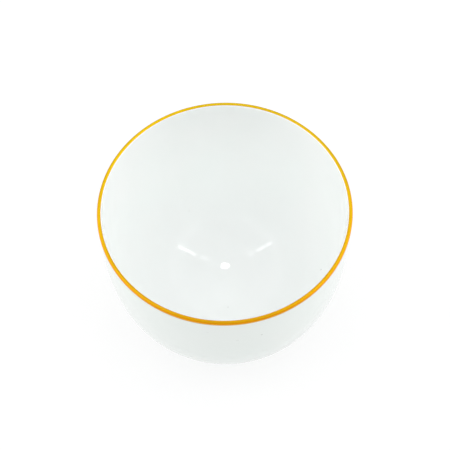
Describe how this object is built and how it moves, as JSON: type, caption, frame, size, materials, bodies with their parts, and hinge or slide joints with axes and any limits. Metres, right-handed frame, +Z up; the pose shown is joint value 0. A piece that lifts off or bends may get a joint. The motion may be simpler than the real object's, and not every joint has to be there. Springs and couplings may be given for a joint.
{
  "type": "porcelain serving bowl",
  "caption": "Deep, full-bellied round serving bowl in white glazed porcelain, with a plain gilt line round the lip and a low unglazed foot ring.",
  "frame": {"origin": "middle of the foot ring's bearing edge, on the surface that the bowl stands on", "axes": "+Z up along the bowl's axis of revolution, out of its mouth; X and Y are any two level directions"},
  "size_m": [0.18, 0.18, 0.138],
  "materials": {
    "porcelain": "fired hard-paste porcelain, under glaze",
    "bare_porcelain": "bare, finely ground, matt",
    "white_glaze": "clear glossy glaze with a faint cool tint",
    "gilt": "glossy ochre-gold line fired over the glaze"
  },
  "bodies": {
    "root": {"bowl_body": "porcelain", "foot_ring": "bare_porcelain", "inner_glaze": "white_glaze", "outer_glaze": "white_glaze", "base_glaze": "white_glaze", "rim_gilt": "gilt"}
  },
  "joints": []
}
